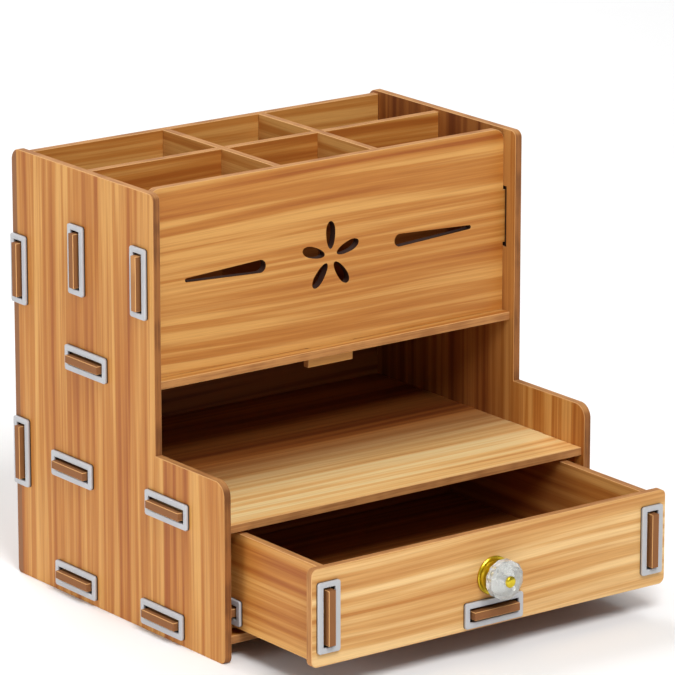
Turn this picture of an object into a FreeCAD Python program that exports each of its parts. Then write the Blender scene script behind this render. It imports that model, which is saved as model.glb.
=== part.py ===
import FreeCAD, Part
import math
import os

from FreeCAD import Placement, Rotation, Vector

# Desk organizer: thin boards with end tabs that pass through slots in their neighbours. A plastic
# snap-in buckle in each slot grips the tab. The case carries a pen box, a phone shelf and a drawer.
# Millimetres. X runs to the user's right, Y from front to back and Z up. The boards are laid out
# with Y = 0 at the side panels' lower front edge, and ORIGIN_Y then centres the whole object.

# ---------------------------------------------------------------- driving dimensions
# Case
CASE_WIDTH = 300.0            # over the outer faces of the side panels
CASE_DEPTH = 240.0            # side panel, front edge to back edge
CASE_HEIGHT = 294.0
BOARD = 5.5                   # thickness of every board
EDGE_BREAK = 0.35             # chamfer along the edges of a board's two faces

# Side panel outline
LEDGE_HEIGHT = 121.0          # height of the low front part
UPPER_SETBACK = 76.2          # front edge of the tall part, behind the low part's
LEDGE_RADIUS = 9.5
TOP_FRONT_RADIUS = 5.0
TOP_BACK_RADIUS = 8.0
FOOT_FRONT_RADIUS = 5.0
FOOT_BACK_RADIUS = 3.0

# Shelves: top faces and front edges
PEN_SHELF_TOP = 168.3
PEN_SHELF_SETBACK = 4.8       # behind the tall part's front edge
PHONE_SHELF_TOP = 91.6
PHONE_SHELF_SETBACK = 3.0     # behind the low part's front edge
BOTTOM_TOP = 15.8
BOTTOM_SETBACK = 7.0

# Upright boards
FRONT_PANEL_SETBACK = 12.5    # its front face, behind the tall part's front edge
FRONT_PANEL_RADIUS = 8.0
FRONT_ROW_DEPTH = 66.0        # clear space from the front panel to the middle panel
BACK_PANEL_INSET = 9.0        # its middle plane, in front of the side panels' back edge
BACK_PANEL_LIFT = 3.0         # its lower edge above the desk
RIM_DROP = 2.0                # inner boards end this far below the side panels' top
DIVIDERS = {"divider_left": -34.0, "divider_right": 45.0}
DIVIDER_END_GAP = 0.2
JOINT_CLEARANCE = 0.2         # in a slot that a board passes through without a buckle

# Tabs and buckles
TAB_WIDTH = 36.5
TAB_REACH = 5.5               # beyond the outer face of the board that it passes through
FLOOR_TAB_REACH = 8.0         # front panel's tab, below the pen shelf
DIVIDER_TAB_REACH = 2.0
MOUTH_GAP = (1.5, 1.85)       # tab to buckle at the mouth, along the tab and across it
SLEEVE_WALL = (1.25, 1.5)     # likewise along and across
FLANGE_LIP = 2.5              # flange beyond the sleeve, all round
FLANGE_THICKNESS = 2.5
FLANGE_RADIUS = 1.8
FLANGE_EDGE = 0.6
SLEEVE_DEPTH = 4.0
GRIP_DEPTH = 2.5              # inner end of the sleeve, which closes in on the tab
SLEEVE_CLEARANCE = 0.1
GRIP_CLEARANCE = 0.05

# Tab places on the side panels
UPPER_TAB_RISE = 2.3          # above mid-height of the pen box, front and middle panels
BACK_UPPER_TAB_DROP = 18.0    # below mid-height of the pen box
BACK_LOWER_TAB_Z = 87.0
PEN_TAB_SHIFT = -1.6          # from the middle of the pen shelf
PHONE_TAB_FRONT = 59.0        # from the shelf's front edge
PHONE_TAB_BACK = 60.0         # in front of the back panel
BOTTOM_TAB_FRONT = 61.0
BOTTOM_TAB_BACK = 63.0

# Cut-outs in the front panel
FLOWER_DROP = 3.3             # centre, below mid-height of the pen box
PETALS = 5
PETAL_BELLY = (17.0, 3.8)     # widest place: distance from the flower's centre, half width
PETAL_TIP = 24.0              # outer end's distance from the flower's centre
PETAL_ROOT = 5.2              # inner end's
DROP_LEVEL = 1.0              # centre line of the two long drops, below mid-height
DROP_HEAD = (57.0, 4.4)       # distance from the middle of the panel, radius
DROP_TIP = (115.4, 1.4)

# Drawer
DRAWER_OPEN = 85.0            # how far it is pulled out
DRAWER_SIDE_GAP = 0.6         # front board to side panel
DRAWER_FRONT_LIFT = 4.4       # front board's lower edge above the bottom panel
DRAWER_HEAD_GAP = 1.1         # front board's upper edge below the phone shelf
DRAWER_SIDE_DROP = 1.0        # sides' upper edge below the front board's
DRAWER_GLIDE = 0.4            # runner, the sides' lowest edge, above the bottom panel
DRAWER_RUNNER_START = 101.0   # behind the front face
DRAWER_RUNNER_DROP = 3.4      # below the rest of the sides' lower edge
DRAWER_RUNNER_RADIUS = 3.0
DRAWER_REAR_GAP = 6.2         # closed drawer to back panel
DRAWER_FRONT_RADIUS = 4.5
DRAWER_SIDE_INSET = 12.4      # middle plane of a side, from the end of the front board
DRAWER_BACK_INSET = 9.5       # middle plane of the back, from the sides' rear ends
DRAWER_BOTTOM_RISE = 10.4     # middle plane of the bottom, above the front board's lower edge
DRAWER_BOTTOM_TAB = 111.0     # behind the front face

# Knob, along its axis from the front face of the drawer
KNOB_BASE_GAP = 1.9           # base above the flange of the drawer bottom's front buckle
KNOB_BASE_RADIUS = 12.9
KNOB_RIM = 1.6
KNOB_STEP = 2.0               # width of the flat ring inside the rim
KNOB_EDGE = 0.5               # size of the bevels
KNOB_DISH = 4.0
KNOB_SEAT = 6.6               # where the crystal's foil sits
KNOB_NECK_RADIUS = 6.5
KNOB_SEAT_RADIUS = 8.0
KNOB_POST_RADIUS = 3.0
KNOB_POST_CLEARANCE = 0.1
CRYSTAL_RADIUS = 12.9         # across the flats of its widest part
CRYSTAL_SIDES = 12
CRYSTAL_BACK = 3.0            # depth of the facets behind the girdle
CRYSTAL_GIRDLE = 5.0
CRYSTAL_FRONT = 3.0
CRYSTAL_BACK_RADIUS = 8.5
CRYSTAL_TABLE_RADIUS = 8.8
FOIL_THICKNESS = 0.2          # silvered backing behind the crystal's rear facets
FOIL_CLEARANCE = 0.02
CAP_RADIUS = 3.8
CAP_RIM = 0.8
CAP_DOME = 1.3
SCREW_RADIUS = 2.0
SCREW_CLEARANCE = 0.1
SCREW_HOLE_RADIUS = 2.3
SCREW_GRIP = 5.0              # length of thread inside the knob
SCREW_TIP_GAP = 0.6
SCREW_HEAD_ROUND = 0.8
SCREW_HEAD_RADIUS = 3.6
SCREW_HEAD_HEIGHT = 2.4
SCREW_SLOT = (0.8, 1.0)       # width, depth
WASHER_RADIUS = 5.5
WASHER_THICKNESS = 1.0

# ---------------------------------------------------------------- places that follow from them
MOUTH_LENGTH = TAB_WIDTH + 2 * MOUTH_GAP[0]
MOUTH_WIDTH = BOARD + 2 * MOUTH_GAP[1]
SLEEVE_LENGTH = MOUTH_LENGTH + 2 * SLEEVE_WALL[0]
SLEEVE_WIDTH = MOUTH_WIDTH + 2 * SLEEVE_WALL[1]
FLANGE_LENGTH = SLEEVE_LENGTH + 2 * FLANGE_LIP
FLANGE_WIDTH = SLEEVE_WIDTH + 2 * FLANGE_LIP

INNER_HALF = CASE_WIDTH / 2 - BOARD
FRONT_PANEL_FACE = UPPER_SETBACK + FRONT_PANEL_SETBACK
FRONT_PANEL_Y = FRONT_PANEL_FACE + BOARD / 2
MIDDLE_PANEL_Y = FRONT_PANEL_Y + FRONT_ROW_DEPTH + BOARD
BACK_PANEL_Y = CASE_DEPTH - BACK_PANEL_INSET
BACK_PANEL_FACE = BACK_PANEL_Y - BOARD / 2
PEN_SHELF_FRONT = UPPER_SETBACK + PEN_SHELF_SETBACK
RIM_Z = CASE_HEIGHT - RIM_DROP
PEN_BOX_MIDDLE = (PEN_SHELF_TOP + CASE_HEIGHT) / 2
UPPER_TAB_Z = PEN_BOX_MIDDLE + UPPER_TAB_RISE

DRAWER_FACE = -DRAWER_OPEN
DRAWER_INNER_FACE = DRAWER_FACE + BOARD
DRAWER_REAR = DRAWER_FACE + BACK_PANEL_FACE - DRAWER_REAR_GAP
DRAWER_HALF = INNER_HALF - DRAWER_SIDE_GAP
DRAWER_SIDE_X = DRAWER_HALF - DRAWER_SIDE_INSET
DRAWER_INNER_HALF = DRAWER_SIDE_X - BOARD / 2
DRAWER_FRONT_BOTTOM = BOTTOM_TOP + DRAWER_FRONT_LIFT
DRAWER_FRONT_TOP = PHONE_SHELF_TOP - BOARD - DRAWER_HEAD_GAP
DRAWER_RUNNER_BOTTOM = BOTTOM_TOP + DRAWER_GLIDE
DRAWER_SIDE_BOTTOM = DRAWER_RUNNER_BOTTOM + DRAWER_RUNNER_DROP
DRAWER_SIDE_TOP = DRAWER_FRONT_TOP - DRAWER_SIDE_DROP
DRAWER_TAB_Z = (DRAWER_FRONT_BOTTOM + DRAWER_FRONT_TOP) / 2
DRAWER_BACK_Y = DRAWER_REAR - DRAWER_BACK_INSET
DRAWER_BACK_FACE = DRAWER_BACK_Y - BOARD / 2
DRAWER_BOTTOM_Z = DRAWER_FRONT_BOTTOM + DRAWER_BOTTOM_RISE
DRAWER_BOTTOM_TAB_Y = DRAWER_FACE + DRAWER_BOTTOM_TAB

KNOB_Z = DRAWER_BOTTOM_Z + FLANGE_WIDTH / 2 + KNOB_BASE_GAP + KNOB_BASE_RADIUS
CRYSTAL_LOW = KNOB_SEAT + FOIL_THICKNESS + FOIL_CLEARANCE
KNOB_TABLE = CRYSTAL_LOW + CRYSTAL_BACK + CRYSTAL_GIRDLE + CRYSTAL_FRONT
KNOB_REACH = KNOB_TABLE + CAP_RIM + CAP_DOME
ORIGIN_Y = (CASE_DEPTH + DRAWER_FACE - KNOB_REACH) / 2

# Headings: the way a standing board's local z axis, or a buckle's flange, points
FRONT, RIGHT, BACK, LEFT = 0, 90, 180, 270
ALONG_X, ALONG_Y = 0, 90

# Tabs through each side panel, as (y, z, direction of the tab's width)
SIDE_JOINTS = {
    "front_panel": (FRONT_PANEL_Y, UPPER_TAB_Z, ALONG_Y),
    "middle_panel": (MIDDLE_PANEL_Y, UPPER_TAB_Z, ALONG_Y),
    "back_panel_upper": (BACK_PANEL_Y, PEN_BOX_MIDDLE - BACK_UPPER_TAB_DROP, ALONG_Y),
    "back_panel_lower": (BACK_PANEL_Y, BACK_LOWER_TAB_Z, ALONG_Y),
    "pen_shelf": ((PEN_SHELF_FRONT + BACK_PANEL_FACE) / 2 + PEN_TAB_SHIFT,
                  PEN_SHELF_TOP - BOARD / 2, ALONG_X),
    "phone_shelf_front": (PHONE_SHELF_SETBACK + PHONE_TAB_FRONT, PHONE_SHELF_TOP - BOARD / 2, ALONG_X),
    "phone_shelf_rear": (BACK_PANEL_Y - PHONE_TAB_BACK, PHONE_SHELF_TOP - BOARD / 2, ALONG_X),
    "bottom_front": (BOTTOM_SETBACK + BOTTOM_TAB_FRONT, BOTTOM_TOP - BOARD / 2, ALONG_X),
    "bottom_rear": (BACK_PANEL_Y - BOTTOM_TAB_BACK, BOTTOM_TOP - BOARD / 2, ALONG_X),
}

# Joints whose slot shows its full width on the inner face, beside the board
STRAIGHT_SLOTS = ["front_panel"]

# Tabs through the back panel, as heights of the shelves' middle planes
BACK_JOINTS = {
    "pen_shelf": PEN_SHELF_TOP - BOARD / 2,
    "phone_shelf": PHONE_SHELF_TOP - BOARD / 2,
    "bottom": BOTTOM_TOP - BOARD / 2,
}


# ---------------------------------------------------------------- shapes in a board's own plane
def rounded_face(corners):
    """Face with the given corners (x, y, radius), listed anticlockwise, each rounded by an arc."""
    points = [Vector(x, y, 0) for x, y, radius in corners]
    edges = []
    ends = []
    for i, (x, y, radius) in enumerate(corners):
        before = (points[i - 1] - points[i]).normalize()
        after = (points[(i + 1) % len(points)] - points[i]).normalize()
        half_angle = before.getAngle(after) / 2
        reach = radius / math.tan(half_angle)
        start = points[i] + before * reach
        end = points[i] + after * reach
        if radius > 0:
            bisector = (before + after).normalize()
            middle = points[i] + bisector * (radius / math.sin(half_angle) - radius)
            edges.append(Part.Arc(start, middle, end).toShape())
        ends.append((start, end))
    for i, (start, end) in enumerate(ends):
        edges.append(Part.makeLine(ends[i - 1][1], start))
    return Part.Face(Part.Wire(Part.__sortEdges__(edges)))


def rectangle(length, width, radius=0.0):
    """Rounded rectangle face centred on the origin, its length along x."""
    x, y = length / 2, width / 2
    return rounded_face([(-x, -y, radius), (x, -y, radius), (x, y, radius), (-x, y, radius)])


def teardrop(head, tip):
    """Face round two circles on the x axis, (distance, radius) each, and their common tangents."""
    span = head[0] - tip[0]
    lean = math.acos((head[1] - tip[1]) / span)
    head_centre = Vector(head[0], 0, 0)
    tip_centre = Vector(tip[0], 0, 0)

    def on(centre, radius, angle):
        return centre + Vector(math.cos(angle), math.sin(angle), 0) * radius

    turn = math.pi - lean
    top = Part.makeLine(on(head_centre, head[1], turn), on(tip_centre, tip[1], turn))
    bottom = Part.makeLine(on(tip_centre, tip[1], -turn), on(head_centre, head[1], -turn))
    round_tip = Part.Arc(on(tip_centre, tip[1], turn), on(tip_centre, tip[1], math.pi),
                         on(tip_centre, tip[1], -turn)).toShape()
    round_head = Part.Arc(on(head_centre, head[1], -turn), on(head_centre, head[1], 0),
                          on(head_centre, head[1], turn)).toShape()
    return Part.Face(Part.Wire([top, round_tip, bottom, round_head]))


def egg(root, belly, tip):
    """Face of two half ellipses along the x axis that meet at the belly, (distance, half width).
    Each is a half circle stretched from the belly to its own end."""
    centre, half_width = belly
    half_circle = Part.Arc(Vector(0, -half_width, 0), Vector(half_width, 0, 0), Vector(0, half_width, 0))
    halves = []
    for end in (tip, root):
        stretch = FreeCAD.Matrix()
        stretch.scale((end - centre) / half_width, 1, 1)
        stretch.move(Vector(centre, 0, 0))
        halves.append(half_circle.toShape().transformGeometry(stretch))
    return Part.Face(Part.Wire(halves))


def prism(face, low, high):
    """Solid from a face in the xy plane, between two heights."""
    return face.translated(Vector(0, 0, low)).extrude(Vector(0, 0, high - low))


def at(shape, x, y, turn=0):
    """Copy of a shape turned about z and moved in the xy plane."""
    return shape.transformed(Placement(Vector(x, y, 0), Rotation(Vector(0, 0, 1), turn)).toMatrix())


def box(x_low, x_high, y_low, y_high):
    """Block of board thickness between the given limits, about the board's middle plane."""
    corner = Vector(x_low, y_low, -BOARD / 2)
    return Part.makeBox(x_high - x_low, y_high - y_low, BOARD, corner)


def through(face):
    """Cutter that passes right through a board."""
    return prism(face, -BOARD, BOARD)


def buckle_slot(x, y, direction, straight=False):
    """Cutter for a slot with a buckle: a pocket for the sleeve in the outer face (local +z), and
    inside it a slot that only the tab fills. A straight one keeps the sleeve's size all through."""
    gap = 2 * SLEEVE_CLEARANCE
    sleeve = rectangle(SLEEVE_LENGTH + gap, SLEEVE_WIDTH + gap)
    if straight:
        return at(through(sleeve), x, y, direction)
    pocket = prism(sleeve, BOARD / 2 - SLEEVE_DEPTH - SLEEVE_CLEARANCE, BOARD)
    tab = through(rectangle(TAB_WIDTH + JOINT_CLEARANCE, BOARD + JOINT_CLEARANCE))
    return at(pocket.fuse(tab), x, y, direction)


def plain_slot(x, y, length, direction):
    """Cutter for a slot that takes a bare tab."""
    return at(through(rectangle(length, BOARD + JOINT_CLEARANCE)), x, y, direction)


def halving_slot(x, edge):
    """Cutter for a slot from a pen box board's edge to its mid-height, where two boards cross."""
    return plain_slot(x, edge, RIM_Z - PEN_SHELF_TOP, ALONG_Y)


def end_tabs(half_length, centre):
    """Tab on each end of a board, through a neighbour of board thickness."""
    end = half_length + BOARD + TAB_REACH
    low, high = centre - TAB_WIDTH / 2, centre + TAB_WIDTH / 2
    return [box(-end, -half_length + BOARD, low, high), box(half_length - BOARD, end, low, high)]


def rear_tab(edge):
    """Tab in the middle of a level board's rear edge, through the upright board behind it."""
    return box(-TAB_WIDTH / 2, TAB_WIDTH / 2, edge - BOARD, edge + BOARD + TAB_REACH)


def make_board(corners, tabs=(), cutters=()):
    """Board about its middle plane: outline with tabs, broken edges, then slots and cut-outs."""
    plate = prism(rounded_face(corners), -BOARD / 2, BOARD / 2)
    if tabs:
        plate = plate.fuse(list(tabs)).removeSplitter()
    rims = [edge for face in plate.Faces if abs(face.normalAt(0, 0).z) > 0.9
            for edge in face.OuterWire.Edges]
    plate = plate.makeChamfer(EDGE_BREAK, rims)
    if cutters:
        plate = plate.cut(list(cutters))
    return plate


def level(shape, z):
    """Level board with its middle plane at the given height."""
    return shape.translated(Vector(0, 0, z))


def mirrored(shape):
    """Mirror image across the object's middle plane, x = 0."""
    return shape.mirror(Vector(0, 0, 0), Vector(1, 0, 0))


def standing(shape, heading, x=0.0, y=0.0, z=0.0, turn=0):
    """Stand a flat shape up: its y axis goes up and its z axis points to the heading."""
    rotation = (Rotation(Vector(0, 0, 1), heading) * Rotation(Vector(1, 0, 0), 90)
                * Rotation(Vector(0, 0, 1), turn))
    return shape.transformed(Placement(Vector(x, y, z), rotation).toMatrix())


# ---------------------------------------------------------------- case boards
def side_panel():
    """Right side panel; the left one is its mirror image."""
    outline = [
        (0, 0, FOOT_FRONT_RADIUS),
        (CASE_DEPTH, 0, FOOT_BACK_RADIUS),
        (CASE_DEPTH, CASE_HEIGHT, TOP_BACK_RADIUS),
        (UPPER_SETBACK, CASE_HEIGHT, TOP_FRONT_RADIUS),
        (UPPER_SETBACK, LEDGE_HEIGHT, 0),
        (0, LEDGE_HEIGHT, LEDGE_RADIUS),
    ]
    slots = [buckle_slot(*joint, straight=name in STRAIGHT_SLOTS) for name, joint in SIDE_JOINTS.items()]
    return make_board(outline, cutters=slots)


def upright(low, high, tab_heights, cutters=(), tabs=(), top_radius=0.0):
    """Board that spans the case between the side panels, with tabs on both ends."""
    outline = [(-INNER_HALF, low, 0), (INNER_HALF, low, 0),
               (INNER_HALF, high, top_radius), (-INNER_HALF, high, top_radius)]
    all_tabs = list(tabs)
    for height in tab_heights:
        all_tabs += end_tabs(INNER_HALF, height)
    return make_board(outline, all_tabs, cutters)


def back_panel():
    slots = [buckle_slot(0, z, ALONG_X) for z in BACK_JOINTS.values()]
    heights = [SIDE_JOINTS["back_panel_upper"][1], SIDE_JOINTS["back_panel_lower"][1]]
    return upright(BACK_PANEL_LIFT, RIM_Z, heights, slots)


def middle_panel():
    slots = [halving_slot(x, RIM_Z) for x in DIVIDERS.values()]
    return upright(PEN_SHELF_TOP, RIM_Z, [UPPER_TAB_Z], slots)


def front_panel():
    petal = through(egg(PETAL_ROOT, PETAL_BELLY, PETAL_TIP))
    drop = through(teardrop((-DROP_HEAD[0], DROP_HEAD[1]), (-DROP_TIP[0], DROP_TIP[1])))
    cutters = [at(petal, 0, PEN_BOX_MIDDLE - FLOWER_DROP, 90 + i * 360 / PETALS) for i in range(PETALS)]
    cutters += [at(drop, 0, PEN_BOX_MIDDLE - DROP_LEVEL, turn) for turn in (0, 180)]
    floor_tab = box(-TAB_WIDTH / 2, TAB_WIDTH / 2, PEN_SHELF_TOP - BOARD - FLOOR_TAB_REACH,
                    PEN_SHELF_TOP + BOARD)
    return upright(PEN_SHELF_TOP, CASE_HEIGHT, [UPPER_TAB_Z], cutters, [floor_tab], FRONT_PANEL_RADIUS)


def divider():
    """Divider across the pen box, in its (y, z) plane, halved over the middle panel."""
    front = FRONT_PANEL_Y + BOARD / 2 + DIVIDER_END_GAP
    rear = BACK_PANEL_FACE - DIVIDER_END_GAP
    outline = [(front, PEN_SHELF_TOP, 0), (rear, PEN_SHELF_TOP, 0), (rear, RIM_Z, 0), (front, RIM_Z, 0)]
    tab_y = divider_tab_y()
    tab = box(tab_y - TAB_WIDTH / 2, tab_y + TAB_WIDTH / 2,
              PEN_SHELF_TOP - BOARD - DIVIDER_TAB_REACH, PEN_SHELF_TOP + BOARD)
    return make_board(outline, [tab], [halving_slot(MIDDLE_PANEL_Y, PEN_SHELF_TOP)])


def divider_tab_y():
    """Middle of a divider's floor tab: half way from the front panel to the middle panel."""
    return (FRONT_PANEL_Y + MIDDLE_PANEL_Y) / 2


def shelf(front_edge, tab_centres, cutters=()):
    outline = [(-INNER_HALF, front_edge, 0), (INNER_HALF, front_edge, 0),
               (INNER_HALF, BACK_PANEL_FACE, 0), (-INNER_HALF, BACK_PANEL_FACE, 0)]
    tabs = [rear_tab(BACK_PANEL_FACE)]
    for centre in tab_centres:
        tabs += end_tabs(INNER_HALF, centre)
    return make_board(outline, tabs, cutters)


def pen_shelf():
    slots = [plain_slot(0, FRONT_PANEL_Y, SLEEVE_LENGTH, ALONG_X)]
    for x in DIVIDERS.values():
        slots.append(plain_slot(x, divider_tab_y(), TAB_WIDTH + JOINT_CLEARANCE, ALONG_Y))
    return shelf(PEN_SHELF_FRONT, [SIDE_JOINTS["pen_shelf"][0]], slots)


# ---------------------------------------------------------------- drawer boards
def drawer_front():
    outline = [(-DRAWER_HALF, DRAWER_FRONT_BOTTOM, DRAWER_FRONT_RADIUS),
               (DRAWER_HALF, DRAWER_FRONT_BOTTOM, DRAWER_FRONT_RADIUS),
               (DRAWER_HALF, DRAWER_FRONT_TOP, DRAWER_FRONT_RADIUS),
               (-DRAWER_HALF, DRAWER_FRONT_TOP, DRAWER_FRONT_RADIUS)]
    screw_hole = Part.makeCylinder(SCREW_HOLE_RADIUS, 2 * BOARD, Vector(0, KNOB_Z, -BOARD))
    return make_board(outline, cutters=[
        buckle_slot(-DRAWER_SIDE_X, DRAWER_TAB_Z, ALONG_Y),
        buckle_slot(DRAWER_SIDE_X, DRAWER_TAB_Z, ALONG_Y),
        buckle_slot(0, DRAWER_BOTTOM_Z, ALONG_X),
        screw_hole,
    ])


def drawer_side():
    """Drawer side in its (y, z) plane: a tab forward, and a runner under its rear part."""
    runner_start = DRAWER_FACE + DRAWER_RUNNER_START
    outline = [(DRAWER_INNER_FACE, DRAWER_SIDE_BOTTOM, 0), (runner_start, DRAWER_SIDE_BOTTOM, 0),
               (runner_start, DRAWER_RUNNER_BOTTOM, DRAWER_RUNNER_RADIUS),
               (DRAWER_REAR, DRAWER_RUNNER_BOTTOM, DRAWER_RUNNER_RADIUS),
               (DRAWER_REAR, DRAWER_SIDE_TOP, 0), (DRAWER_INNER_FACE, DRAWER_SIDE_TOP, 0)]
    tab = box(DRAWER_FACE - TAB_REACH, DRAWER_INNER_FACE + BOARD,
              DRAWER_TAB_Z - TAB_WIDTH / 2, DRAWER_TAB_Z + TAB_WIDTH / 2)
    return make_board(outline, [tab], [
        buckle_slot(DRAWER_BOTTOM_TAB_Y, DRAWER_BOTTOM_Z, ALONG_X),
        buckle_slot(DRAWER_BACK_Y, DRAWER_TAB_Z, ALONG_Y),
    ])


def drawer_back():
    outline = [(-DRAWER_INNER_HALF, DRAWER_SIDE_BOTTOM, 0), (DRAWER_INNER_HALF, DRAWER_SIDE_BOTTOM, 0),
               (DRAWER_INNER_HALF, DRAWER_SIDE_TOP, 0), (-DRAWER_INNER_HALF, DRAWER_SIDE_TOP, 0)]
    slot = buckle_slot(0, DRAWER_BOTTOM_Z, ALONG_X)
    return make_board(outline, end_tabs(DRAWER_INNER_HALF, DRAWER_TAB_Z), [slot])


def drawer_bottom():
    outline = [(-DRAWER_INNER_HALF, DRAWER_INNER_FACE, 0), (DRAWER_INNER_HALF, DRAWER_INNER_FACE, 0),
               (DRAWER_INNER_HALF, DRAWER_BACK_FACE, 0), (-DRAWER_INNER_HALF, DRAWER_BACK_FACE, 0)]
    front_tab = box(-TAB_WIDTH / 2, TAB_WIDTH / 2, DRAWER_FACE - TAB_REACH, DRAWER_INNER_FACE + BOARD)
    tabs = [front_tab, rear_tab(DRAWER_BACK_FACE)]
    tabs += end_tabs(DRAWER_INNER_HALF, DRAWER_BOTTOM_TAB_Y)
    return make_board(outline, tabs)


# ---------------------------------------------------------------- buckle
def buckle():
    """Snap-in buckle: flange on the board's face (z = 0) and a sleeve that grips the tab."""
    flange = prism(rectangle(FLANGE_LENGTH, FLANGE_WIDTH, FLANGE_RADIUS), 0, FLANGE_THICKNESS)
    mouth = rectangle(MOUTH_LENGTH, MOUTH_WIDTH)
    flange = flange.cut(prism(mouth, -1, FLANGE_THICKNESS + 1))
    rims = [edge for face in flange.Faces if face.normalAt(0, 0).z > 0.9 for edge in face.Edges]
    flange = flange.makeFillet(FLANGE_EDGE, rims)
    sleeve = prism(rectangle(SLEEVE_LENGTH, SLEEVE_WIDTH), -SLEEVE_DEPTH, 0)
    sleeve = sleeve.cut(prism(mouth, GRIP_DEPTH - SLEEVE_DEPTH, 1))
    gap = 2 * GRIP_CLEARANCE
    sleeve = sleeve.cut(prism(rectangle(TAB_WIDTH + gap, BOARD + gap), -SLEEVE_DEPTH - 1, 1))
    return flange.fuse(sleeve).removeSplitter()


# ---------------------------------------------------------------- knob, along local z from the drawer's face
def turned(profile):
    """Solid turned about the z axis from (radius, z) points."""
    wire = Part.makePolygon([Vector(radius, 0, z) for radius, z in profile + profile[:1]])
    return Part.Face(wire).revolve(Vector(0, 0, 0), Vector(0, 0, 1), 360)


def knob_base():
    """Dished rosette with a waist, a seat for the crystal and a post that carries the cap."""
    edge = KNOB_EDGE
    step_radius = KNOB_BASE_RADIUS - KNOB_STEP
    profile = [
        (0, 0), (KNOB_BASE_RADIUS - edge, 0), (KNOB_BASE_RADIUS, edge),
        (KNOB_BASE_RADIUS, KNOB_RIM), (KNOB_BASE_RADIUS - edge, KNOB_RIM + edge),
        (step_radius, KNOB_RIM + edge), (step_radius - edge, KNOB_DISH - edge),
        (KNOB_SEAT_RADIUS, KNOB_DISH), (KNOB_NECK_RADIUS, KNOB_DISH + edge),
        (KNOB_NECK_RADIUS, KNOB_SEAT - 2 * edge), (KNOB_SEAT_RADIUS, KNOB_SEAT - edge),
        (KNOB_SEAT_RADIUS, KNOB_SEAT), (KNOB_POST_RADIUS, KNOB_SEAT),
        (KNOB_POST_RADIUS, KNOB_TABLE), (0, KNOB_TABLE),
    ]
    bore = Part.makeCylinder(SCREW_RADIUS + SCREW_CLEARANCE, SCREW_GRIP + SCREW_TIP_GAP)
    return turned(profile).cut(bore)


def faceted(*rings):
    """Solid of flat facets between rings of corners, each (radius, z, turn in sides)."""
    sides = range(CRYSTAL_SIDES)

    def corner(ring, i):
        radius, z, turn = ring
        angle = (i + turn) * 2 * math.pi / CRYSTAL_SIDES
        return Vector(radius * math.cos(angle), radius * math.sin(angle), z)

    def facet(*corners):
        return Part.Face(Part.makePolygon(list(corners) + [corners[0]]))

    facets = [facet(*[corner(ring, i) for i in sides]) for ring in (rings[0], rings[-1])]
    for lower, upper in zip(rings, rings[1:]):
        first, second = sorted((lower, upper), key=lambda ring: ring[2])
        for i in sides:
            if lower[2] == upper[2]:
                facets.append(facet(corner(lower, i), corner(lower, i + 1),
                                    corner(upper, i + 1), corner(upper, i)))
            else:
                facets.append(facet(corner(first, i), corner(second, i), corner(first, i + 1)))
                facets.append(facet(corner(second, i), corner(second, i + 1), corner(first, i + 1)))
    return Part.makeSolid(Part.makeShell(facets))


def crystal_rings():
    """Back, girdle and front of the crystal; the facets meet the girdle's corners half a side round."""
    girdle = CRYSTAL_LOW + CRYSTAL_BACK
    corner_radius = CRYSTAL_RADIUS / math.cos(math.pi / CRYSTAL_SIDES)
    return [
        (CRYSTAL_BACK_RADIUS, CRYSTAL_LOW, 0),
        (corner_radius, girdle, 0.5),
        (corner_radius, girdle + CRYSTAL_GIRDLE, 0.5),
        (CRYSTAL_TABLE_RADIUS, KNOB_TABLE, 0),
    ]


def post_bore():
    return Part.makeCylinder(KNOB_POST_RADIUS + KNOB_POST_CLEARANCE, KNOB_REACH)


def knob_crystal():
    """Cut crystal: a many-sided girdle with sloping facets in front and behind, bored for the post."""
    return faceted(*crystal_rings()).cut(post_bore())


def knob_foil():
    """Thin silvered cup behind the crystal's rear facets, on the base's seat."""
    rear = faceted(*crystal_rings()[:2])
    cup = rear.translated(Vector(0, 0, -FOIL_CLEARANCE - FOIL_THICKNESS))
    return cup.cut([rear.translated(Vector(0, 0, -FOIL_CLEARANCE)), post_bore()])


def knob_cap():
    """Low domed cap that closes the crystal's bore."""
    steps = 6
    dome = [(CAP_RADIUS * math.cos(i * math.pi / 2 / steps),
             KNOB_TABLE + CAP_RIM + CAP_DOME * math.sin(i * math.pi / 2 / steps)) for i in range(steps)]
    top = (0, KNOB_TABLE + CAP_RIM + CAP_DOME)
    return turned([(0, KNOB_TABLE), (CAP_RADIUS, KNOB_TABLE)] + dome + [top])


def knob_washer():
    low = -BOARD - WASHER_THICKNESS
    washer = Part.makeCylinder(WASHER_RADIUS, WASHER_THICKNESS, Vector(0, 0, low))
    return washer.cut(Part.makeCylinder(SCREW_HOLE_RADIUS, WASHER_THICKNESS, Vector(0, 0, low)))


def knob_screw():
    """Slotted screw from inside the drawer into the knob's base."""
    seat = -BOARD - WASHER_THICKNESS
    head = Part.makeCylinder(SCREW_HEAD_RADIUS, SCREW_HEAD_HEIGHT, Vector(0, 0, seat - SCREW_HEAD_HEIGHT))
    head = head.makeFillet(SCREW_HEAD_ROUND, [head.Edges[2]])
    width, depth = SCREW_SLOT
    corner = Vector(-SCREW_HEAD_RADIUS, -width / 2, seat - SCREW_HEAD_HEIGHT)
    head = head.cut(Part.makeBox(2 * SCREW_HEAD_RADIUS, width, depth, corner))
    shank = Part.makeCylinder(SCREW_RADIUS, SCREW_GRIP - seat, Vector(0, 0, seat))
    return head.fuse(shank)


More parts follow.
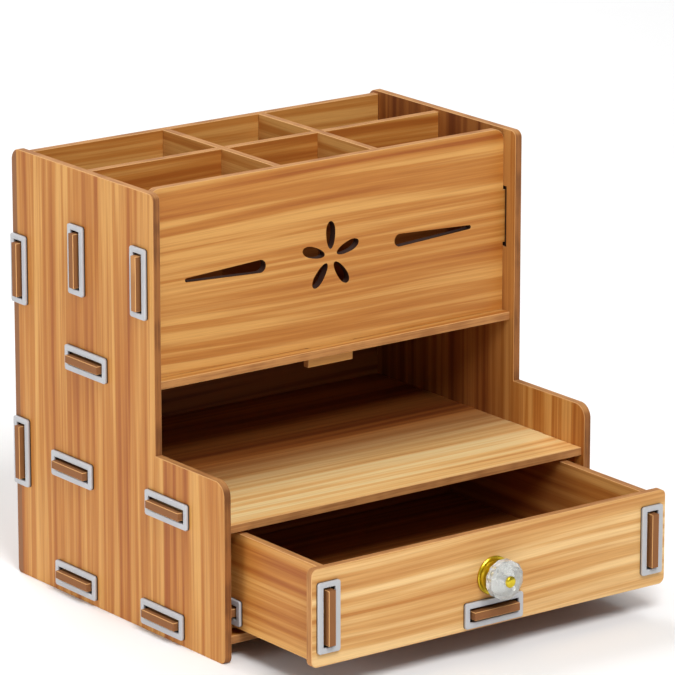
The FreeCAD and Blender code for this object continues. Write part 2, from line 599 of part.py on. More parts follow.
# ---------------------------------------------------------------- assembly
def case_nodes():
    right_panel = standing(side_panel(), RIGHT, CASE_WIDTH / 2 - BOARD / 2)
    nodes = {
        "side_panel_left": mirrored(right_panel),
        "side_panel_right": right_panel,
        "back_panel": standing(back_panel(), BACK, y=BACK_PANEL_Y),
        "middle_panel": standing(middle_panel(), FRONT, y=MIDDLE_PANEL_Y),
        "front_panel": standing(front_panel(), FRONT, y=FRONT_PANEL_Y),
        "pen_shelf": level(pen_shelf(), PEN_SHELF_TOP - BOARD / 2),
        "phone_shelf": level(shelf(PHONE_SHELF_SETBACK, [
            SIDE_JOINTS["phone_shelf_front"][0], SIDE_JOINTS["phone_shelf_rear"][0],
        ]), PHONE_SHELF_TOP - BOARD / 2),
        "bottom_panel": level(shelf(BOTTOM_SETBACK, [
            SIDE_JOINTS["bottom_front"][0], SIDE_JOINTS["bottom_rear"][0],
        ]), BOTTOM_TOP - BOARD / 2),
    }
    for name, x in DIVIDERS.items():
        nodes[name] = standing(divider(), RIGHT, x)
    return nodes


def case_buckles():
    nodes = {}
    ring = buckle()
    for name, (y, z, direction) in SIDE_JOINTS.items():
        nodes["buckle_left_" + name] = standing(ring, LEFT, -CASE_WIDTH / 2, y, z, direction)
        nodes["buckle_right_" + name] = standing(ring, RIGHT, CASE_WIDTH / 2, y, z, direction)
    for name, z in BACK_JOINTS.items():
        nodes["buckle_back_" + name] = standing(ring, BACK, 0, BACK_PANEL_Y + BOARD / 2, z)
    return nodes


def drawer_nodes():
    right_side = standing(drawer_side(), RIGHT, DRAWER_SIDE_X)
    return {
        "drawer_front": standing(drawer_front(), FRONT, y=DRAWER_FACE + BOARD / 2),
        "drawer_side_left": mirrored(right_side),
        "drawer_side_right": right_side,
        "drawer_back": standing(drawer_back(), BACK, y=DRAWER_BACK_Y),
        "drawer_bottom": level(drawer_bottom(), DRAWER_BOTTOM_Z),
    }


def drawer_buckles():
    ring = buckle()
    outer = DRAWER_SIDE_X + BOARD / 2
    nodes = {
        "drawer_buckle_front_bottom": standing(ring, FRONT, 0, DRAWER_FACE, DRAWER_BOTTOM_Z),
        "drawer_buckle_back_bottom": standing(ring, BACK, 0, DRAWER_BACK_Y + BOARD / 2, DRAWER_BOTTOM_Z),
    }
    for name, heading, sign in (("left", LEFT, -1), ("right", RIGHT, 1)):
        nodes["drawer_buckle_front_" + name] = standing(
            ring, FRONT, sign * DRAWER_SIDE_X, DRAWER_FACE, DRAWER_TAB_Z, ALONG_Y)
        nodes["drawer_buckle_bottom_" + name] = standing(
            ring, heading, sign * outer, DRAWER_BOTTOM_TAB_Y, DRAWER_BOTTOM_Z)
        nodes["drawer_buckle_back_" + name] = standing(
            ring, heading, sign * outer, DRAWER_BACK_Y, DRAWER_TAB_Z, ALONG_Y)
    return nodes


def knob_nodes():
    shapes = {
        "knob_base": knob_base(),
        "knob_crystal": knob_crystal(),
        "knob_foil": knob_foil(),
        "knob_cap": knob_cap(),
        "knob_washer": knob_washer(),
        "knob_screw": knob_screw(),
    }
    return {name: standing(shape, FRONT, 0, DRAWER_FACE, KNOB_Z) for name, shape in shapes.items()}


def all_nodes():
    nodes = {}
    for group in (case_nodes(), case_buckles(), drawer_nodes(), drawer_buckles(), knob_nodes()):
        nodes.update(group)
    return {name: shape.translated(Vector(0, -ORIGIN_Y, 0)) for name, shape in nodes.items()}


os.makedirs("parts", exist_ok=True)
for node, solid in all_nodes().items():
    solid.exportStep("parts/" + node + ".step")
    print(node, "valid" if solid.isValid() else "NOT VALID", len(solid.Solids), "solid",
          round(solid.Volume), "mm3")
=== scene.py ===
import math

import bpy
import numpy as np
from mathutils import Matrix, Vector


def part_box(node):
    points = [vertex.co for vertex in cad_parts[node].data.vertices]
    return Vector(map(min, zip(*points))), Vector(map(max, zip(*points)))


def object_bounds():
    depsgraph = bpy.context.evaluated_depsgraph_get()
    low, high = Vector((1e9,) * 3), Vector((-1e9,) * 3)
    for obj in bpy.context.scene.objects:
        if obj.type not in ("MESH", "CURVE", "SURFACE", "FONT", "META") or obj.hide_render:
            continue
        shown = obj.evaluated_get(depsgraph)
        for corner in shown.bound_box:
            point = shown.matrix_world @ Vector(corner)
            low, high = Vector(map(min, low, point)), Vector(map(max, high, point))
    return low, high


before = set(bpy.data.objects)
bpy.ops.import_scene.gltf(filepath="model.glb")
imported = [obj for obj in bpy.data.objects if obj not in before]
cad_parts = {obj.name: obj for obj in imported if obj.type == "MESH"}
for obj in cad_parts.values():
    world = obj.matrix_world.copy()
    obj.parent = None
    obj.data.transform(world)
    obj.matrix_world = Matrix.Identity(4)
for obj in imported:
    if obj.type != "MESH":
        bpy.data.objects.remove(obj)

# %% [markdown]
# # A slot-together desk organizer
# The object is a case of thin printed boards. Each board ends in tabs that pass through its
# neighbours, and a grey plastic buckle snaps into each slot round its tab. A shallow drawer with a
# crystal knob slides out at the bottom. The boards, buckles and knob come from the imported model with
# their true sizes, so this file gives them their finish: printed wood grain, bare cut edges, moulded
# plastic, yellow metal and cut crystal. It then adds the light, the floor and the camera.

cad_box = [list(corner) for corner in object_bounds()]
low, high = (Vector(corner) for corner in cad_box)
size = high - low
print("organizer, metres:", [round(value, 4) for value in size])

# %% [markdown]
# ## Working with nodes
# A procedural material is a small graph of nodes. The helpers below keep each graph short to write:
# `add` makes a node and sets its options, `feed` puts a number or a socket into an input, and
# `maths` and `blend` make the two kinds of node that every material here needs most.


# %% Node helpers
def add(tree, kind, **options):
    """Make a node of a kind in a tree and set its options."""
    node = tree.nodes.new(kind)
    for name, value in options.items():
        setattr(node, name, value)
    return node


def feed(tree, socket, value):
    """Link a socket into an input, or set the input when the value is a plain number or tuple."""
    if isinstance(value, bpy.types.NodeSocket):
        tree.links.new(value, socket)
    else:
        socket.default_value = value


def maths(tree, operation, *values):
    """Math node; returns its result."""
    node = add(tree, "ShaderNodeMath", operation=operation)
    for socket, value in zip(node.inputs, values):
        feed(tree, socket, value)
    return node.outputs[0]


def blend(tree, factor, first, second):
    """Colour mix from first (factor 0) to second (factor 1)."""
    node = add(tree, "ShaderNodeMix", data_type="RGBA")
    feed(tree, node.inputs["Factor"], factor)
    feed(tree, node.inputs[6], first)
    feed(tree, node.inputs[7], second)
    return node.outputs[2]


def spread(tree, value, from_low, from_high, to_low=0.0, to_high=1.0):
    """Smooth step: value from_low gives to_low, from_high gives to_high, with soft ends."""
    node = add(tree, "ShaderNodeMapRange", interpolation_type="SMOOTHSTEP")
    for socket, number in zip(node.inputs, (value, from_low, from_high, to_low, to_high)):
        feed(tree, socket, number)
    return node.outputs[0]


def stretched_noise(tree, point, stretch, detail):
    """Noise whose lumps per metre along x, y and z are the stretch's three numbers."""
    scaled = add(tree, "ShaderNodeVectorMath", operation="MULTIPLY")
    feed(tree, scaled.inputs[0], point)
    feed(tree, scaled.inputs[1], stretch)
    noise = add(tree, "ShaderNodeTexNoise", noise_dimensions="3D")
    feed(tree, noise.inputs["Vector"], scaled.outputs[0])
    feed(tree, noise.inputs["Scale"], 1.0)
    feed(tree, noise.inputs["Detail"], detail)
    return noise.outputs[0]


def new_group(name, inputs, outputs):
    """Empty shader node group with named sockets; returns the tree, its inputs and its output node."""
    tree = bpy.data.node_groups.new(name, "ShaderNodeTree")
    kinds = {"v": "NodeSocketVector", "f": "NodeSocketFloat", "c": "NodeSocketColor"}
    for socket, kind in inputs.items():
        tree.interface.new_socket(socket, in_out="INPUT", socket_type=kinds[kind])
    for socket, kind in outputs.items():
        tree.interface.new_socket(socket, in_out="OUTPUT", socket_type=kinds[kind])
    return tree, add(tree, "NodeGroupInput").outputs, add(tree, "NodeGroupOutput").inputs


def use_group(tree, group, **values):
    """Place a group in a material; underscores in the keyword names stand for spaces."""
    node = add(tree, "ShaderNodeGroup", node_tree=group)
    for name, value in values.items():
        feed(tree, node.inputs[name.replace("_", " ")], value)
    return node.outputs


def srgb(red, green, blue):
    """Screen colour, 0 to 255, as the linear colour that shaders use."""
    channels = np.array([red, green, blue]) / 255
    linear = np.where(channels <= 0.04045, channels / 12.92, ((channels + 0.055) / 1.055) ** 2.4)
    return (*linear.tolist(), 1.0)


def start_material(name):
    """New material; returns it with its node tree and its Principled shader."""
    material = bpy.data.materials.new(name)
    material.use_nodes = True
    return material, material.node_tree, material.node_tree.nodes["Principled BSDF"]


def bump(tree, height, distance, strength=1.0):
    """Bump node from a height, 0 to 1, that stands for the given distance in metres."""
    node = add(tree, "ShaderNodeBump")
    feed(tree, node.inputs["Height"], height)
    feed(tree, node.inputs["Distance"], distance)
    feed(tree, node.inputs["Strength"], strength)
    return node.outputs[0]


# %% [markdown]
# ## Wood grain
# The boards carry a printed softwood grain: long soft streaks, tan to orange, that run the length
# of the board and wander a little. Wood streaks are noise that changes slowly along the grain and
# quickly across it. Four layers do it: bands a few centimetres wide, streaks of about 6 mm, dark
# lines of 2 to 3 mm, and fibres thinner than a millimetre. Before any layer is read, a slow noise
# shifts the point sideways, which makes the streaks wander together as they do on a real plank. The
# group reads a point whose x is along the grain, so one group serves every board.


# %% Grain group
DRIFT = (2.6, 6.0, 0.0)         # noise lumps per metre along and across the grain, for each layer
BANDS = (1.3, 38.0, 0.0)
STREAKS = (2.6, 160.0, 0.0)
LINES = (4.0, 420.0, 0.0)
FIBRES = (40.0, 1500.0, 0.0)
BAND_SHARE, STREAK_SHARE, LINE_STRENGTH = 0.45, 0.55, 0.31


def make_grain():
    """Color of the print at a point whose x is along the grain, and its Fibre height, 0 to 1."""
    tree, inputs, outputs = new_group(
        "wood_grain",
        {"Point": "v", "Wander": "f", "Light": "c", "Middle": "c", "Dark": "c"},
        {"Color": "c", "Fibre": "f"})
    flat = add(tree, "ShaderNodeVectorMath", operation="MULTIPLY")
    feed(tree, flat.inputs[0], inputs["Point"])
    feed(tree, flat.inputs[1], (1.0, 1.0, 0.0))
    slow = stretched_noise(tree, flat.outputs[0], DRIFT, 1.0)
    shift = maths(tree, "MULTIPLY", maths(tree, "SUBTRACT", slow, 0.5), inputs["Wander"])
    sideways = add(tree, "ShaderNodeCombineXYZ")
    feed(tree, sideways.inputs[1], shift)
    moved = add(tree, "ShaderNodeVectorMath", operation="ADD")
    feed(tree, moved.inputs[0], flat.outputs[0])
    feed(tree, moved.inputs[1], sideways.outputs[0])
    point = moved.outputs[0]

    bands = spread(tree, stretched_noise(tree, point, BANDS, 2.0), 0.33, 0.67)
    streaks = spread(tree, stretched_noise(tree, point, STREAKS, 3.0), 0.36, 0.68)
    lines = spread(tree, stretched_noise(tree, point, LINES, 3.0), 0.50, 0.70)
    fibre = stretched_noise(tree, point, FIBRES, 2.0)

    tone = maths(tree, "ADD", maths(tree, "MULTIPLY", bands, BAND_SHARE),
                 maths(tree, "MULTIPLY", streaks, STREAK_SHARE))
    pale = blend(tree, spread(tree, tone, 0.10, 0.55), inputs["Light"], inputs["Middle"])
    full = blend(tree, spread(tree, tone, 0.50, 0.95), pale, inputs["Dark"])
    lined = blend(tree, maths(tree, "MULTIPLY", lines, LINE_STRENGTH), full, inputs["Dark"])
    shade = spread(tree, fibre, 0.3, 0.7, 0.94, 1.04)
    tinted = add(tree, "ShaderNodeVectorMath", operation="SCALE")
    feed(tree, tinted.inputs[0], lined)
    feed(tree, tinted.inputs["Scale"], shade)
    feed(tree, outputs["Color"], tinted.outputs[0])
    feed(tree, outputs["Fibre"], fibre)
    return tree


grain_group = make_grain()
print("group", grain_group.name, [item.name for item in grain_group.interface.items_tree])

# %% [markdown]
# ## Cut edges
# The print covers only a board's two faces. Its edges are the bare core where the cutter has
# scorched it: a warm brown with darker patches, lighter on the small chamfer at the face lines and
# fibrous along the board. The surface
# itself says which is which. Turned so that z is through the board, a normal's z is 1 on a face,
# 0 on an edge and about 0.7 on the small chamfer between them.


# %% Edge group
def make_edges():
    """Color of a board from its face's colour and its edges' three browns, and its Face mask."""
    tree, inputs, outputs = new_group(
        "cut_edges",
        {"Point": "v", "Normal": "v", "Face Color": "c", "Core": "c", "Scorch": "c", "Rim": "c"},
        {"Color": "c", "Face": "f"})
    parts = add(tree, "ShaderNodeSeparateXYZ")
    feed(tree, parts.inputs[0], inputs["Normal"])
    facing = maths(tree, "ABSOLUTE", parts.outputs[2])
    face = spread(tree, facing, 0.80, 0.95)
    rim = maths(tree, "MULTIPLY", spread(tree, facing, 0.35, 0.6), maths(tree, "SUBTRACT", 1.0, face))
    lay = stretched_noise(tree, inputs["Point"], (30.0, 30.0, 900.0), 3.0)
    patches = stretched_noise(tree, inputs["Point"], (45.0, 45.0, 45.0), 2.0)
    soot = maths(tree, "ADD", maths(tree, "MULTIPLY", lay, 0.5), maths(tree, "MULTIPLY", patches, 0.5))
    core = blend(tree, spread(tree, soot, 0.40, 0.62), inputs["Core"], inputs["Scorch"])
    edge = blend(tree, rim, core, inputs["Rim"])
    feed(tree, outputs["Color"], blend(tree, face, edge, inputs["Face Color"]))
    feed(tree, outputs["Face"], face)
    return tree


edge_group = make_edges()
print("group", edge_group.name, [item.name for item in edge_group.interface.items_tree])

# %% [markdown]
# ## Tab ends
# Where a tab pokes out past its neighbour it shows a plain brown on every side, with no print. A box
# in the object's own space tells the two apart: a point inside the box is printed, and a point
# beyond it is bare.


# %% Tab group
def make_tab_ends():
    """Bare: how far a point is past the nearer of two corners, on its worst axis, as a mask."""
    tree, inputs, outputs = new_group(
        "tab_ends", {"Point": "v", "Low": "v", "High": "v"}, {"Bare": "f"})
    below = add(tree, "ShaderNodeVectorMath", operation="SUBTRACT")
    feed(tree, below.inputs[0], inputs["Low"])
    feed(tree, below.inputs[1], inputs["Point"])
    above = add(tree, "ShaderNodeVectorMath", operation="SUBTRACT")
    feed(tree, above.inputs[0], inputs["Point"])
    feed(tree, above.inputs[1], inputs["High"])
    past = add(tree, "ShaderNodeVectorMath", operation="MAXIMUM")
    feed(tree, past.inputs[0], below.outputs[0])
    feed(tree, past.inputs[1], above.outputs[0])
    parts = add(tree, "ShaderNodeSeparateXYZ")
    feed(tree, parts.inputs[0], past.outputs[0])
    furthest = maths(tree, "MAXIMUM", maths(tree, "MAXIMUM", parts.outputs[0], parts.outputs[1]),
                     parts.outputs[2])
    feed(tree, outputs["Bare"], spread(tree, furthest, 0.0, 0.0008))
    return tree


tab_group = make_tab_ends()
print("group", tab_group.name, [item.name for item in tab_group.interface.items_tree])

# %% [markdown]
# ## Inner shade
# Deep in the bay, the pen box and the drawer the boards look much darker than these lamps leave
# them, so the print there is blended to a deeper one. That is painted shade: nothing suggests that
# the real boards change colour inside. It goes by depth, the distance of a point along an axis that
# leads inwards, and a facing direction can keep it to one face of a board. For evenly lit looks,
# leave this group out.


# %% Inner shade group
def make_inner_shade():
    """Inside: 0 at depth Start and 1 at depth End, on faces that turn towards Facing, or on all."""
    tree, inputs, outputs = new_group(
        "inner_shade",
        {"Point": "v", "Normal": "v", "Axis": "v", "Facing": "v",
         "All Faces": "f", "Start": "f", "End": "f"},
        {"Inside": "f"})
    depth = add(tree, "ShaderNodeVectorMath", operation="DOT_PRODUCT")
    feed(tree, depth.inputs[0], inputs["Point"])
    feed(tree, depth.inputs[1], inputs["Axis"])
    turned = add(tree, "ShaderNodeVectorMath", operation="DOT_PRODUCT")
    feed(tree, turned.inputs[0], inputs["Normal"])
    feed(tree, turned.inputs[1], inputs["Facing"])
    facing = maths(tree, "MAXIMUM", spread(tree, turned.outputs["Value"], 0.4, 0.8),
                   inputs["All Faces"])
    shade = spread(tree, depth.outputs["Value"], inputs["Start"], inputs["End"])
    feed(tree, outputs["Inside"], maths(tree, "MULTIPLY", shade, facing))
    return tree


inner_shade_group = make_inner_shade()
print("group", inner_shade_group.name, [item.name for item in inner_shade_group.interface.items_tree])

# %% [markdown]
# ## The boards
# Every board uses these groups with its own values. A Mapping node turns the object's point so
# that x runs along that board's grain and z through it, and slides it so that no two boards show
# the same stretch of print. The side panels' grain stands upright and every other board's lies
# along its length. The print comes in four depths: bright on the phone shelf, which is painted
# light there, pale on the drawer's front, warm on the rest of the outside, and deep inside, which
# is painted shade. The side panels' upright edges are darker than the others, and where their
# edges face up they take a lighter brown, a painted highlight along the top. The walls of the
# flower and the two drops in the front panel are almost black, partly as burnt edges are and
# partly to stand for the shade in so narrow a cut.

# %% Board materials
QUARTER = math.pi / 2
TURNS = {                       # angles that turn a board's grain to x and its thickness to z
    "up_sidewise": (0.0, QUARTER, 0.0),
    "across_frontwise": (-QUARTER, 0.0, 0.0),
    "across_level": (0.0, 0.0, 0.0),
    "back_sidewise": (-QUARTER, -QUARTER, 0.0),
}
BOARDS = {
    "side_panel_left": "up_sidewise", "side_panel_right": "up_sidewise",
    "front_panel": "across_frontwise", "middle_panel": "across_frontwise",
    "back_panel": "across_frontwise", "pen_shelf": "across_level",
    "phone_shelf": "across_level", "bottom_panel": "across_level",
    "divider_left": "back_sidewise", "divider_right": "back_sidewise",
    "drawer_front": "across_frontwise", "drawer_back": "across_frontwise",
    "drawer_side_left": "back_sidewise", "drawer_side_right": "back_sidewise",
    "drawer_bottom": "across_level",
}
PRINTS = {                      # light, middle and dark tones of the print
    "warm": (srgb(208, 154, 84), srgb(182, 118, 51), srgb(154, 83, 26)),
    "pale": (srgb(230, 191, 132), srgb(208, 157, 93), srgb(182, 119, 56)),
    # bright: painted light, a lighter print that stands for the light on the phone shelf
    "bright": (srgb(248, 220, 160), srgb(240, 192, 122), srgb(212, 148, 80)),
    # deep: painted shade, the print of the boards deep inside the bay, the pen box and the drawer
    "deep": (srgb(158, 98, 44), srgb(132, 74, 30), srgb(104, 50, 18)),
}
PRINT_OF = {
    # the drawer's back and bottom take the deep print all over: painted shade inside the drawer
    "phone_shelf": "bright", "drawer_front": "pale", "drawer_bottom": "deep", "drawer_back": "deep",
}
SIDE_EDGE = (srgb(148, 94, 48), srgb(112, 68, 34), srgb(186, 132, 76))   # core, scorch, rim
BOARD_EDGE = (srgb(184, 130, 76), srgb(156, 104, 58), srgb(206, 156, 100))
TAB_END = srgb(136, 88, 50)
# near black for the cut-out walls: partly burnt edge, partly painted shade in the narrow cuts
BURN_AND_SHADE = srgb(46, 20, 8)
FAR = 1.0
case_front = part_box("side_panel_right")[0][1]
drawer_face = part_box("drawer_front")[0][1]
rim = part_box("back_panel")[1][2]
INWARDS, DOWNWARDS, ANY = (0.0, 1.0, 0.0), (0.0, 0.0, -1.0), (0.0, 0.0, 0.0)
SHADED = {                      # axis, facing direction, depths where the deep print starts and is full
    "phone_shelf": (INWARDS, ANY, case_front + 0.035, case_front + 0.125),
    "side_panel_left": (INWARDS, (1.0, 0.0, 0.0), case_front + 0.045, case_front + 0.125),
    "side_panel_right": (INWARDS, (-1.0, 0.0, 0.0), case_front + 0.045, case_front + 0.125),
    "drawer_side_left": (INWARDS, (1.0, 0.0, 0.0), drawer_face + 0.040, drawer_face + 0.130),
    "drawer_side_right": (INWARDS, (-1.0, 0.0, 0.0), drawer_face + 0.040, drawer_face + 0.130),
    "middle_panel": (DOWNWARDS, ANY, 0.010 - rim, 0.050 - rim),
    "back_panel": (DOWNWARDS, (0.0, -1.0, 0.0), 0.010 - rim, 0.050 - rim),
    "divider_left": (DOWNWARDS, ANY, 0.010 - rim, 0.050 - rim),
    "divider_right": (DOWNWARDS, ANY, 0.010 - rim, 0.050 - rim),
}


def printed_box(node):
    """Corners of the box inside which a board is printed: the case, or the drawer's four walls."""
    if node.startswith("drawer"):
        half_width = FAR if node == "drawer_front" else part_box("drawer_side_right")[1][0]
        return ((-half_width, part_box("drawer_front")[0][1], -FAR),
                (half_width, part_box("drawer_back")[1][1], FAR))
    half_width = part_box("side_panel_right")[1][0]
    return (-half_width, -FAR, -FAR), (half_width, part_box("back_panel")[1][1], FAR)


CUT_HALF_WIDTH, CUT_BELOW, CUT_ABOVE = 0.125, 0.033, 0.030     # how far the cut-outs reach, metres


def cut_out_box():
    """Corners of the box round the front panel's flower and drops, whose walls are near black: burnt
    edges and painted shade.
    """
    panel_low, panel_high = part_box("front_panel")
    middle_z = (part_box("pen_shelf")[1][2] + panel_high[2]) / 2
    return ((-CUT_HALF_WIDTH, -FAR, middle_z - CUT_BELOW),
            (CUT_HALF_WIDTH, FAR, middle_z + CUT_ABOVE))


UPRIGHT_WANDER, LEVEL_WANDER = 0.008, 0.014                     # how far the grain sways, metres
FIBRE_HEIGHT, FIBRE_STRENGTH = 0.00006, 0.5
EDGE_ROUGHNESS, FACE_ROUGHNESS = 0.75, 0.48
BOARD_SPECULAR = 0.28


def board_material(node, turn, shift):
    """Material of one board, with its grain turned and slid into place."""
    material, tree, shader = start_material("board_" + node)
    tones = PRINTS[PRINT_OF.get(node, "warm")]
    core, scorch, rim_color = BOARD_EDGE
    coordinates = add(tree, "ShaderNodeTexCoord")
    point = add(tree, "ShaderNodeMapping")
    feed(tree, point.inputs["Vector"], coordinates.outputs["Object"])
    point.inputs["Rotation"].default_value = turn
    point.inputs["Location"].default_value = shift
    normal = add(tree, "ShaderNodeMapping", vector_type="NORMAL")
    feed(tree, normal.inputs["Vector"], coordinates.outputs["Normal"])
    normal.inputs["Rotation"].default_value = turn
    if node in SHADED:
        axis, facing, start, end = SHADED[node]
        inner_shade = use_group(tree, inner_shade_group, Point=coordinates.outputs["Object"],
                                Normal=coordinates.outputs["Normal"], Axis=axis, Facing=facing,
                                All_Faces=float(facing == ANY), Start=start, End=end)
        tones = [blend(tree, inner_shade["Inside"], tone, deep)
                 for tone, deep in zip(tones, PRINTS["deep"])]
    # Side panels: edges that face up take the other boards' lighter brown, a painted highlight on the
    # top edges.
    if node.startswith("side_panel"):
        parts = add(tree, "ShaderNodeSeparateXYZ")
        feed(tree, parts.inputs[0], coordinates.outputs["Normal"])
        top_highlight = spread(tree, parts.outputs[2], 0.3, 0.8)
        core, scorch, rim_color = (blend(tree, top_highlight, dark, light)
                                   for dark, light in zip(SIDE_EDGE, BOARD_EDGE))
    wander = LEVEL_WANDER if turn[1] == 0.0 else UPRIGHT_WANDER
    grain = use_group(tree, grain_group, Point=point.outputs[0], Wander=wander,
                      Light=tones[0], Middle=tones[1], Dark=tones[2])
    inside_low, inside_high = printed_box(node)
    tabs = use_group(tree, tab_group, Point=coordinates.outputs["Object"],
                     Low=inside_low, High=inside_high)
    bare = tabs["Bare"]
    # The cut-outs' walls are near black: partly burnt edges, partly painted shade in the narrow cuts.
    if node == "front_panel":
        cut_low, cut_high = cut_out_box()
        beyond = use_group(tree, tab_group, Point=coordinates.outputs["Object"],
                           Low=cut_low, High=cut_high)
        core, scorch = (blend(tree, beyond["Bare"], BURN_AND_SHADE, color) for color in (core, scorch))
    else:
        core, scorch = (blend(tree, bare, color, TAB_END) for color in (core, scorch))
    board = use_group(tree, edge_group, Point=point.outputs[0], Normal=normal.outputs[0],
                      Face_Color=blend(tree, bare, grain["Color"], TAB_END),
                      Core=core, Scorch=scorch, Rim=rim_color)
    feed(tree, shader.inputs["Base Color"], board["Color"])
    feed(tree, shader.inputs["Roughness"],
         spread(tree, board["Face"], 0.0, 1.0, EDGE_ROUGHNESS, FACE_ROUGHNESS))
    feed(tree, shader.inputs["Normal"], bump(tree, grain["Fibre"], FIBRE_HEIGHT, FIBRE_STRENGTH))
    shader.inputs["Specular IOR Level"].default_value = BOARD_SPECULAR
    return material


def dress(node, material):
    """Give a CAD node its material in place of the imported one."""
    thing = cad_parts[node]
    thing.data.materials.clear()
    thing.data.materials.append(material)


for number, (node, turn) in enumerate(BOARDS.items()):
    dress(node, board_material(node, TURNS[turn], (0.71 * number, 0.37 * number, 0.0)))
print(len(BOARDS), "boards dressed")

# %% [markdown]
# ## The buckles
# Each buckle is one moulding in pale grey plastic, with a fine satin texture on its flange. Its
# throat is a deep narrow gap round the tab that reads almost black, and these lamps leave it too
# light, so it is painted dark. The real plastic is most likely grey all the way down. The material
# measures how far a point stands out from the board's face and turns dark below it.


# %% Buckle material
THROAT_EDGE = (0.0004, 0.0016)  # heights over the board's face between which the dark ends
GRIT = (2600.0, 2600.0, 2600.0)


def make_throat():
    """Shade: 1 below a board's face and 0 above it. Grit: the plastic's fine texture."""
    tree, inputs, outputs = new_group(
        "throat", {"Point": "v", "Outward": "v", "Face": "f"}, {"Shade": "f", "Grit": "f"})
    along = add(tree, "ShaderNodeVectorMath", operation="DOT_PRODUCT")
    feed(tree, along.inputs[0], inputs["Point"])
    feed(tree, along.inputs[1], inputs["Outward"])
    height = maths(tree, "SUBTRACT", along.outputs["Value"], inputs["Face"])
    feed(tree, outputs["Shade"], spread(tree, height, *THROAT_EDGE, 1.0, 0.0))
    feed(tree, outputs["Grit"], stretched_noise(tree, inputs["Point"], GRIT, 2.0))
    return tree


throat_group = make_throat()
PLASTIC = srgb(180, 181, 184)
THROAT = srgb(38, 24, 18)


def buckle_material(name, outward, face):
    """Plastic for buckles whose board has its face at the given height along outward."""
    material, tree, shader = start_material(name)
    coordinates = add(tree, "ShaderNodeTexCoord")
    throat = use_group(tree, throat_group, Point=coordinates.outputs["Object"],
                       Outward=outward, Face=face)
    feed(tree, shader.inputs["Base Color"], blend(tree, throat["Shade"], PLASTIC, THROAT))
    feed(tree, shader.inputs["Roughness"], spread(tree, throat["Grit"], 0.3, 0.7, 0.30, 0.42))
    feed(tree, shader.inputs["Normal"], bump(tree, throat["Grit"], 0.00003, 0.6))
    shader.inputs["Specular IOR Level"].default_value = 0.5
    return material


def outer_face(board, axis, sign):
    """Where a board's outer face lies along an outward axis, leaving out the tabs' reach."""
    corner_low, corner_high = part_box(board)
    return max(sign * corner_low[axis], sign * corner_high[axis])


BUCKLE_FACES = {                # name prefix: outward direction, board that carries the buckle
    "buckle_left": ((-1, 0, 0), "side_panel_left"),
    "buckle_right": ((1, 0, 0), "side_panel_right"),
    "buckle_back": ((0, 1, 0), "back_panel"),
    "drawer_buckle_front": ((0, -1, 0), "drawer_front"),
    "drawer_buckle_bottom_left": ((-1, 0, 0), "drawer_side_left"),
    "drawer_buckle_back_left": ((-1, 0, 0), "drawer_side_left"),
    "drawer_buckle_bottom_right": ((1, 0, 0), "drawer_side_right"),
    "drawer_buckle_back_right": ((1, 0, 0), "drawer_side_right"),
    "drawer_buckle_back_bottom": ((0, 1, 0), "drawer_back"),
}
buckles = 0
for prefix, (outward, board) in BUCKLE_FACES.items():
    axis = [abs(value) for value in outward].index(1)
    material = buckle_material("plastic_" + prefix, outward, outer_face(board, axis, outward[axis]))
    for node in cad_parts:
        if node.startswith(prefix):
            dress(node, material)
            buckles += 1
print(buckles, "buckles dressed")

# %% [markdown]
# ## The knob
# The knob is a dished yellow-metal rosette, a disc of cut crystal and a small yellow cap. Plated
# metal is a metallic shader with faint smudges in its roughness. The crystal lets about three
# quarters of its light through and scatters the rest, because a fully clear one came out dark under
# these lamps. Behind its rear facets lies a silvered foil that throws the light back. Both are this
# model's way to a bright pale crystal, and a real one may have neither.


# %% Knob and screw materials
SMUDGES = (160.0, 160.0, 160.0)
HAZE = (300.0, 300.0, 300.0)
SMUDGE_DARKENING, SMUDGE_ROUGHENING = 0.86, 0.12


def metal_material(name, color, roughness):
    """Metal of a colour, a little darker and rougher where it is smudged."""
    material, tree, shader = start_material(name)
    coordinates = add(tree, "ShaderNodeTexCoord")
    smudge = stretched_noise(tree, coordinates.outputs["Object"], SMUDGES, 3.0)
    darker = tuple(SMUDGE_DARKENING * value for value in color[:3]) + (1.0,)
    feed(tree, shader.inputs["Base Color"], blend(tree, spread(tree, smudge, 0.35, 0.7), color, darker))
    feed(tree, shader.inputs["Roughness"],
         spread(tree, smudge, 0.3, 0.7, roughness, roughness + SMUDGE_ROUGHENING))
    shader.inputs["Metallic"].default_value = 1.0
    return material


def crystal_material():
    """Glass that scatters some of its light, with a faint haze in its roughness."""
    material, tree, shader = start_material("knob_crystal")
    shader.inputs["Base Color"].default_value = srgb(244, 245, 242)
    shader.inputs["Transmission Weight"].default_value = 0.76
    shader.inputs["IOR"].default_value = 1.5
    coordinates = add(tree, "ShaderNodeTexCoord")
    haze = stretched_noise(tree, coordinates.outputs["Object"], HAZE, 2.0)
    feed(tree, shader.inputs["Roughness"], spread(tree, haze, 0.4, 0.8, 0.03, 0.08))
    return material


yellow_metal = metal_material("yellow_metal", srgb(214, 190, 52), 0.24)
screw_steel = metal_material("screw_steel", srgb(170, 170, 172), 0.30)
dress("knob_base", yellow_metal)
dress("knob_cap", yellow_metal)
dress("knob_screw", screw_steel)
dress("knob_washer", screw_steel)
dress("knob_crystal", crystal_material())
dress("knob_foil", metal_material("silvered_foil", srgb(240, 241, 242), 0.26))
print("knob dressed")

# %% [markdown]
# ## Floor, light and camera
# A pale seamless floor and three large soft lamps give even studio light: a steep key from the
# front, so that the shelf's front is bright and the bay behind it falls dark, a low fill on the left
# side panel, and a wash from behind that keeps the floor white. The camera is far away with a long
# lens, so upright edges stay nearly parallel.

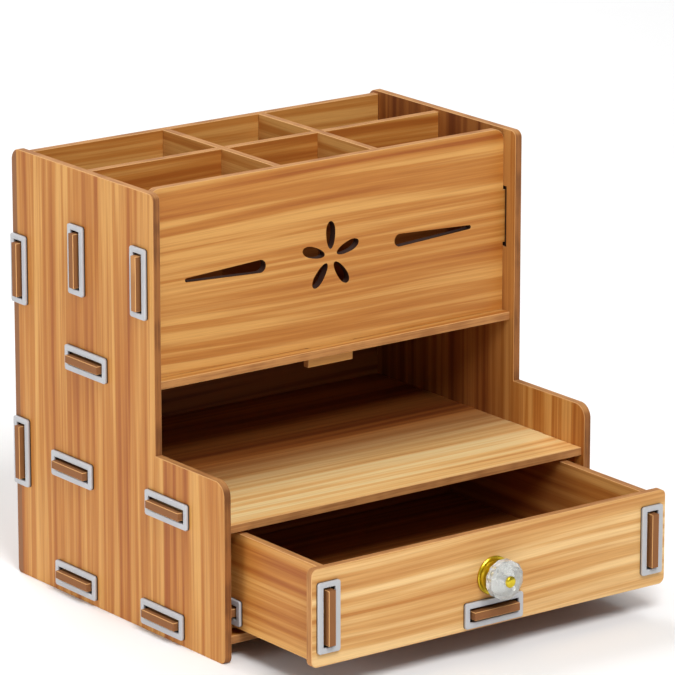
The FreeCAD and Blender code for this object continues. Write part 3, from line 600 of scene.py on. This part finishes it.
# %% Floor
FLOOR_HALF = 6.0
floor_mesh = bpy.data.meshes.new("floor")
corners = [(-FLOOR_HALF, -FLOOR_HALF, low.z), (FLOOR_HALF, -FLOOR_HALF, low.z),
           (FLOOR_HALF, FLOOR_HALF, low.z), (-FLOOR_HALF, FLOOR_HALF, low.z)]
floor_mesh.from_pydata(corners, [], [(0, 1, 2, 3)])
floor = bpy.data.objects.new("floor", floor_mesh)
bpy.context.scene.collection.objects.link(floor)
floor_material, _, floor_shader = start_material("pale_floor")
floor_shader.inputs["Base Color"].default_value = (0.93, 0.93, 0.93, 1.0)
floor_shader.inputs["Roughness"].default_value = 0.9
floor_mesh.materials.append(floor_material)

# %% Lamps and surroundings
middle = (low + high) / 2


def soft_lamp(name, place, width, power):
    """Square area lamp at a place relative to the object's middle, aimed at that middle."""
    lamp = bpy.data.lights.new(name, "AREA")
    lamp.size = width
    lamp.energy = power
    holder = bpy.data.objects.new(name, lamp)
    holder.location = middle + Vector(place)
    holder.rotation_euler = (-Vector(place)).to_track_quat("-Z", "Y").to_euler()
    bpy.context.scene.collection.objects.link(holder)


soft_lamp("key", (-0.5, -1.6, 1.9), 1.0, 51.0)
soft_lamp("fill_left", (-2.3, 0.05, 0.14), 1.2, 25.0)
soft_lamp("back_wash", (0.4, 2.7, 2.7), 2.6, 100.0)

world = bpy.data.worlds.new("studio")
world.use_nodes = True
background = world.node_tree.nodes["Background"]
background.inputs["Color"].default_value = (1.0, 1.0, 1.0, 1.0)
background.inputs["Strength"].default_value = 0.30
bpy.context.scene.world = world
bpy.context.scene.view_settings.view_transform = "Standard"

# %% Camera
AZIMUTH = math.radians(-36.65)
ELEVATION = math.radians(15.63)
DISTANCE = 3.35
LENS = 272.44                    # millimetres, for a sensor of the next width
SENSOR_WIDTH = 36.0
AIM_OFFSET = Vector((-0.0077, -0.0491, 0.0309))    # from the middle of the side panels

panel_low, panel_high = (Vector(corner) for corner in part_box("side_panel_right"))
aim = Vector((0.0, (panel_low.y + panel_high.y) / 2, (panel_low.z + panel_high.z) / 2)) + AIM_OFFSET

towards_camera = Vector((math.sin(AZIMUTH) * math.cos(ELEVATION),
                         -math.cos(AZIMUTH) * math.cos(ELEVATION), math.sin(ELEVATION)))
camera = bpy.data.objects.new("camera", bpy.data.cameras.new("camera"))
camera.data.lens = LENS
camera.data.sensor_width = SENSOR_WIDTH
camera.location = aim + towards_camera * DISTANCE
camera.rotation_euler = towards_camera.to_track_quat("Z", "Y").to_euler()
bpy.context.scene.collection.objects.link(camera)
bpy.context.scene.camera = camera
print("camera at", [round(value, 3) for value in camera.location])
